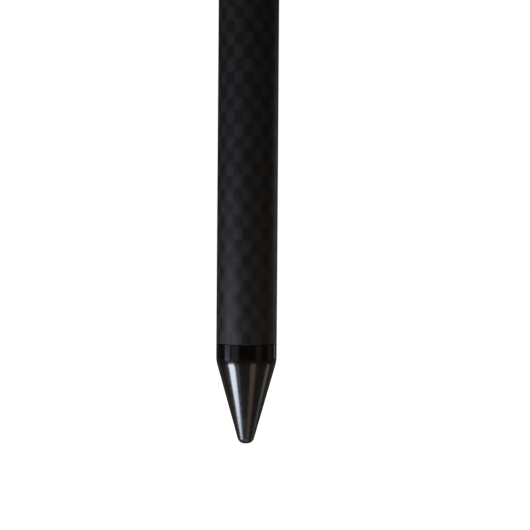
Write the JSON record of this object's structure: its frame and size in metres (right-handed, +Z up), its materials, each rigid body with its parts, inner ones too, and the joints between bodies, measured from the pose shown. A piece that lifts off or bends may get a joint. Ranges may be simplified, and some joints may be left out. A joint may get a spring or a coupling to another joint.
{
  "type": "telescoping prism pole",
  "caption": "Telescoping survey pole with a pointed ground end, a lever clamp, a circular level, an index plunger and a threaded stud on top.",
  "frame": {"origin": "middle of the small flat on the ground point's nose, where the pole touches the survey mark", "axes": "+Z up the pole's axis to the stud, -Y is the front that the lever's handle wraps round, -X is the level's side"},
  "size_m": [0.101, 0.072, 1.284],
  "materials": {
    "black_steel": "hardened, polished and black finished",
    "steel": "turned stainless steel",
    "black_screws": "black oxide",
    "spring_steel": "drawn wire",
    "carbon_tube": "plain-weave carbon fibre under satin lacquer",
    "carbon_inner": "ground carbon fibre with printed graduations",
    "nylon": "natural nylon",
    "black_anodised": "black anodised, bead blasted",
    "bare_aluminium": "turned",
    "red_anodised": "red anodised",
    "brass": "turned",
    "black_plastic": "moulded",
    "rubber": "moulded",
    "level_glass": "clear",
    "level_spirit": "tinted spirit",
    "level_air": "clear"
  },
  "bodies": {
    "lower_pole": {"ground_point": "black_steel", "point_insert": "bare_aluminium", "outer_tube": "carbon_tube", "top_bush": "nylon", "lock_collar": "black_anodised", "collar_grub_screws": "black_screws", "clamp_liner": "nylon", "clamp_bolt": "steel", "lever_pin": "steel", "cam_washer": "brass", "nut_washer": "steel", "level_arm": "black_anodised", "level_arm_screws": "black_screws", "level_adjust_screws": "steel", "level_o_ring": "rubber", "level_cup": "black_anodised", "level_fluid": "level_spirit", "level_bubble": "level_air", "level_lens": "level_glass", "plunger_body": "steel", "plunger_spring": "spring_steel"},
    "lever": {"cam_lever": "red_anodised"},
    "thumb_nut": {"adjust_nut": "black_anodised"},
    "plunger": {"plunger_pin": "steel", "plunger_knob": "black_plastic"},
    "guide_ring": {"wear_ring": "nylon"},
    "upper_pole": {"inner_tube": "carbon_inner", "end_plug": "black_plastic", "bumper_ring": "rubber", "top_plug": "black_anodised", "top_stud": "brass", "top_cross_pin": "steel"}
  },
  "joints": [
    {"name": "pole_slide", "type": "slide", "parent": "lower_pole", "child": "guide_ring", "axis": [0, 0, 1], "range_m": [0, 0.88]},
    {"name": "pole_swivel", "type": "hinge", "parent": "guide_ring", "child": "upper_pole", "pos_m": [0, 0, 1.2], "axis": [0, 0, 1], "continuous": true},
    {"name": "lever_swing", "type": "hinge", "parent": "lower_pole", "child": "lever", "pos_m": [0.027, -0.018, 1.2322], "axis": [0, 0, 1], "range_deg": [0, 110]},
    {"name": "nut_turn", "type": "hinge", "parent": "lower_pole", "child": "thumb_nut", "pos_m": [0.027, 0.0148, 1.2322], "axis": [0, 1, 0], "range_deg": [-180, 180]},
    {"name": "plunger_pull", "type": "slide", "parent": "lower_pole", "child": "plunger", "axis": [0, 1, 0], "range_m": [0, 0.004], "stiffness_N_per_m": 800, "springref_m": -0.004, "deforming": ["plunger_spring"]}
  ]
}
